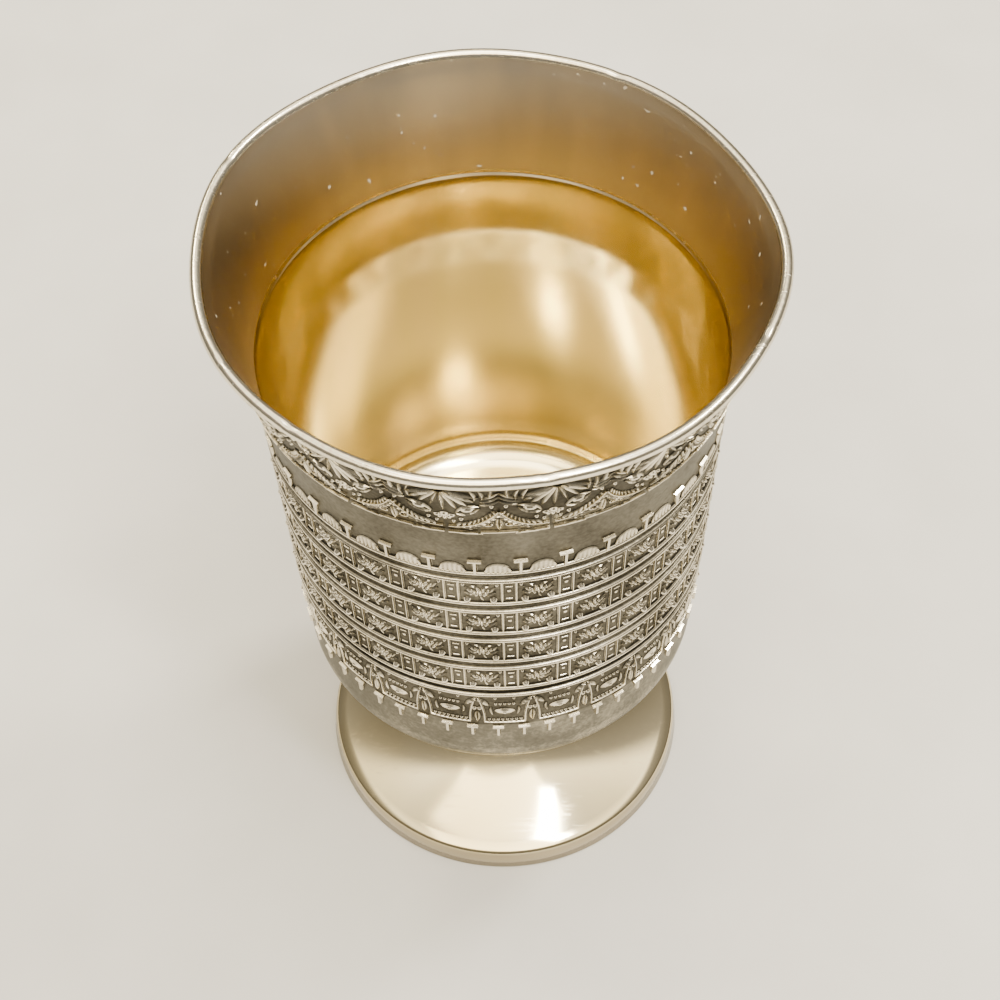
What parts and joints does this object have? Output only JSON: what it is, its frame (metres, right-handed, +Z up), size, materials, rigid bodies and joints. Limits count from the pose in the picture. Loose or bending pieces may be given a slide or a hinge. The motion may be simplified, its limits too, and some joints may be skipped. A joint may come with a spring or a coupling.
{
  "type": "kiddush cup",
  "caption": "Footed wine cup: a flared beaker with a rolled rim, ornament bands and a gilt inside, soldered on a polished trumpet foot.",
  "frame": {"origin": "centre of the foot's standing ring, on the surface the cup stands on", "axes": "+Z up along the cup's axis, -Y towards the side that the picture shows, +X to that side's right"},
  "size_m": [0.0862, 0.0859, 0.13],
  "materials": {
    "chased_silver": "die-rolled silver plate, bright on the raised work and tarnished in the grounds, gilt inside",
    "polished_silver": "smooth polished silver plate with fine wear"
  },
  "bodies": {
    "root": {"bowl": "chased_silver", "foot": "polished_silver"}
  },
  "joints": []
}
